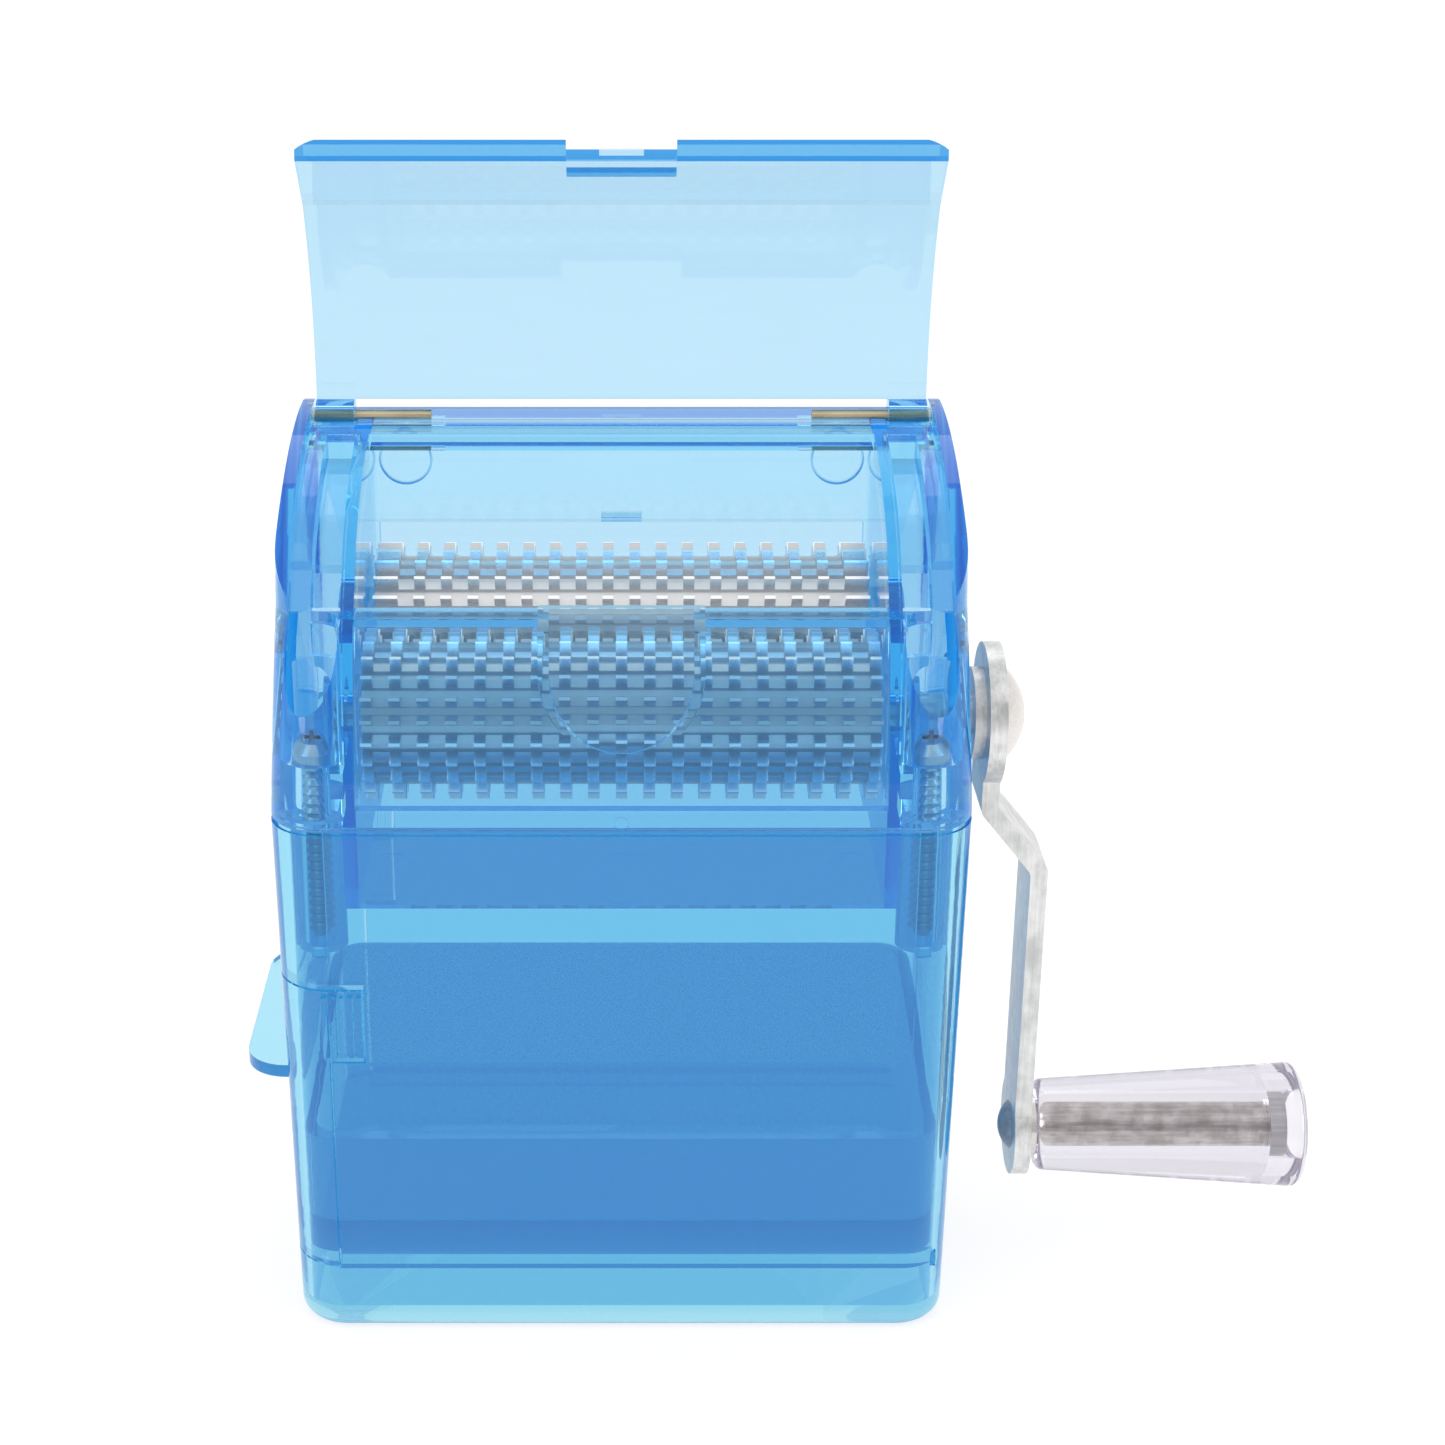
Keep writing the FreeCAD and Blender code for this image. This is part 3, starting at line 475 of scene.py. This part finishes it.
@dataclass(frozen=True)
class Paper:
    """Matt white sheet that the grinder stands on."""

    name: str = "floor_paper"
    light: Colour = (0.32, 0.32, 0.32)
    dark: Colour = (0.29, 0.29, 0.29)
    rough: float = 0.9
    glow: float = 0.76
    cloud_scale: float = 30.0

    def make(self) -> bpy.types.Material:
        """Build the material.

        Returns:
            The material.
        """
        palette = Palette(self.name)
        tone = palette.noise(self.cloud_scale, detail=2.0)
        surface = palette.node(
            "ShaderNodeBsdfPrincipled", None,
            {"Base Color": palette.mix(tone, self.dark, self.light), "Roughness": self.rough,
             "Specular IOR Level": 0.0, "Emission Color": (1.0, 1.0, 1.0, 1.0),
             "Emission Strength": self.glow})
        return palette.finish(surface)


def dress(name: str, material: bpy.types.Material) -> None:
    """Give a CAD node one material all over.

    Args:
        name: The node's name.
        material: What it is made of.
    """
    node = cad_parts[name]
    node.data.materials.clear()
    node.data.materials.append(material)
    LOG.info("dressed %s in %s", name, material.name)


@dataclass
class Housing:
    """The two halves of the body, the lid, the drawer, their screws and hinge pins.

    The dots lie on the tray's back wall, from tray_floor up to tray_back_top and no further
    than back_to_tray from the body's back.
    """

    plastic: ClearPlastic = ClearPlastic("clear_blue_plastic", (0.07, 0.018, 0.004),
                                         (0.55, 0.76, 0.905))
    # The last two values are the deep plastic's painted glow colour and the ray depths where that
    # painted glow takes over.
    deep: ClearPlastic = ClearPlastic("clear_blue_deep", (0.09, 0.02, 0.008), (0.45, 0.77, 0.91),
                                      (0.11, 0.40, 0.74), (1.5, 7.0))
    brass: Metal = Metal("pin_brass", (0.78, 0.64, 0.42), (0.45, 0.35, 0.22), 0.26)
    screw: Metal = Metal("screw_zinc", (0.8, 0.81, 0.83), (0.6, 0.62, 0.65), 0.3, Axis.Z)
    pale: tuple[str, ...] = ("upper_housing", "lid")
    back_to_tray: float = 0.004
    tray_floor: float = 0.0146
    tray_back_top: float = 0.0312

    def build(self) -> None:
        """Dress every node of the body."""
        plastic = self.plastic.make()
        for name in self.pale:
            dress(name, plastic)
        dress("lower_housing", self.deep.make())
        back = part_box("upper_housing")[1][1] - self.back_to_tray
        sparkle = Sparkle(back, (self.tray_floor, self.tray_back_top))
        dotted = replace(self.deep, name="clear_blue_drawer", sparkle=sparkle)
        dress("drawer", dotted.make())
        brass = self.brass.make()
        for name in ("hinge_pin_left", "hinge_pin_right"):
            dress(name, brass)
        dress("housing_screws", self.screw.make())


@dataclass
class Rollers:
    """Both toothed rollers and their shafts."""

    root_r: float = 8.0
    tip_r: float = 9.8
    shaft: Metal = Metal("shaft_steel", (0.82, 0.83, 0.85), (0.62, 0.64, 0.67), 0.22)

    def build(self) -> None:
        """Dress the rollers and shafts."""
        for name in ("front_roller", "rear_roller"):
            low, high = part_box(name)
            axis = ((low[1] + high[1]) / 2, (low[2] + high[2]) / 2)
            dress(name, ToothedMetal(name + "_metal", axis, self.root_r, self.tip_r).make())
        shaft = self.shaft.make()
        for name in ("front_shaft", "rear_shaft"):
            dress(name, shaft)


@dataclass
class Crank:
    """The arm, its screw and washer, and the clear knob with its sleeve and rivet."""

    arm: Metal = Metal("arm_zinc", (0.82, 0.82, 0.81), (0.5, 0.51, 0.51), 0.34, Axis.Z,
                       cloud_scale=420.0)
    bright: Metal = Metal("bright_plate", (0.78, 0.755, 0.73), (0.6, 0.575, 0.55), 0.2)
    sleeve: Metal = Metal("sleeve_nickel", (0.80, 0.77, 0.73), (0.36, 0.33, 0.29), 0.2, Axis.X,
                          cloud_scale=520.0)
    rivet: Metal = Metal("rivet_steel", (0.78, 0.78, 0.77), (0.4, 0.4, 0.4), 0.5, metallic=0.35)
    # The last two values are the knob plastic's painted glow colour and the ray depths where that
    # painted glow takes over.
    clear: ClearPlastic = ClearPlastic("clear_knob_plastic", (0.016, 0.018, 0.013),
                                       (0.91, 0.90, 0.925), (0.66, 0.65, 0.68), (4.0, 10.0))

    def build(self) -> None:
        """Dress the crank's nodes."""
        arm = self.arm.make()
        bright = self.bright.make()
        dress("crank_arm", arm)
        dress("crank_washer", arm)
        for name in ("crank_screw", "knob_washer"):
            dress(name, bright)
        dress("knob_sleeve", self.sleeve.make())
        dress("knob_rivet", self.rivet.make())
        dress("knob", self.clear.make())


@dataclass(frozen=True)
class Lamp:
    """A square soft lamp: its place, width and power."""

    place: tuple[float, float, float]
    width: float
    power: float


@dataclass
class Studio:
    """Camera, floor and soft light."""

    camera_place: tuple[float, float, float] = (0.0, -0.2886, 0.1874)
    tilt_deg: float = 68.0
    lens: float = 64.78
    shift_x: float = 0.0699
    sensor: float = 36.0
    sees: tuple[float, float] = (0.01, 40.0)
    floor_half: float = 12.0
    front_sky: float = 0.62
    open_front: tuple[float, float] = (-0.55, 0.0)
    top_light: tuple[float, float] = (0.5, 0.8)
    lamps_face: tuple[float, float, float] = (0.0, 0.0, 0.06)
    lamps: tuple[Lamp, ...] = (
        Lamp((-0.40, -0.32, 0.22), 0.22, 0.5),
        Lamp((0.40, -0.32, 0.22), 0.22, 0.5),
        Lamp((-0.5, -0.35, 0.75), 0.3, 0.7),
        Lamp((0.6, -0.2, 0.6), 0.3, 0.5),
        Lamp((0.0, 0.5, 0.8), 0.4, 0.6))

    def build(self) -> None:
        """Make everything around the object."""
        self.place_camera()
        self.lay_floor()
        self.light_world()
        for index, lamp in enumerate(self.lamps):
            self.hang_lamp(index, lamp)

    def place_camera(self) -> None:
        """Add the camera."""
        data = bpy.data.cameras.new("camera")
        data.lens = self.lens
        data.sensor_width = self.sensor
        data.shift_x = self.shift_x
        data.clip_start, data.clip_end = self.sees
        camera = bpy.data.objects.new("camera", data)
        camera.location = self.camera_place
        camera.rotation_euler = (math.radians(self.tilt_deg), 0.0, 0.0)
        bpy.context.scene.collection.objects.link(camera)
        bpy.context.scene.camera = camera

    def lay_floor(self) -> None:
        """Add the floor."""
        half = self.floor_half
        mesh = bpy.data.meshes.new("floor")
        corners = [(-half, -half, 0.0), (half, -half, 0.0), (half, half, 0.0), (-half, half, 0.0)]
        mesh.from_pydata(corners, [], [(0, 1, 2, 3)])
        mesh.materials.append(Paper().make())
        floor = bpy.data.objects.new("floor", mesh)
        bpy.context.scene.collection.objects.link(floor)

    def light_world(self) -> None:
        """Surround the object with white light that is dimmer from the front."""
        world = bpy.data.worlds.new("studio")
        world.use_nodes = True
        tree = NodeTree(world.node_tree)
        direction = tree.node("ShaderNodeSeparateXYZ", None,
                              {0: tree.node("ShaderNodeTexCoord").outputs["Generated"]})
        behind = tree.value(direction.outputs["Y"]).smooth(*self.open_front)
        above = tree.value(direction.outputs["Z"]).smooth(*self.top_light)
        lit = (behind + above).clamped() * (1.0 - self.front_sky) + self.front_sky
        sky = tree.node("ShaderNodeBackground", None,
                        {"Color": (1.0, 1.0, 1.0, 1.0), "Strength": lit})
        tree.node("ShaderNodeOutputWorld", None, {"Surface": sky.outputs[0]})
        bpy.context.scene.world = world
        bpy.context.scene.view_settings.view_transform = "Standard"

    def hang_lamp(self, index: int, lamp: Lamp) -> None:
        """Add one soft lamp that faces the object.

        Args:
            index: Its number.
            lamp: What it is like.
        """
        data = bpy.data.lights.new(f"softbox_{index}", "AREA")
        data.size = lamp.width
        data.energy = lamp.power
        light = bpy.data.objects.new(f"softbox_{index}", data)
        light.location = lamp.place
        aim = Vector(self.lamps_face) - Vector(lamp.place)
        light.rotation_euler = aim.to_track_quat("-Z", "Y").to_euler()
        bpy.context.scene.collection.objects.link(light)


def main() -> None:
    """Build everything in order."""
    logging.basicConfig(level=logging.INFO, format="%(message)s")
    cycles = bpy.context.scene.cycles
    cycles.max_bounces = LONGEST_PATH
    cycles.transmission_bounces = LONGEST_PATH
    cycles.glossy_bounces = LONGEST_PATH
    cycles.transparent_max_bounces = LONGEST_PATH
    for assembly in (Studio(), Housing(), Rollers(), Crank()):
        assembly.build()
        LOG.info("built the %s", type(assembly).__name__.lower())


if __name__ == "__main__":
    main()
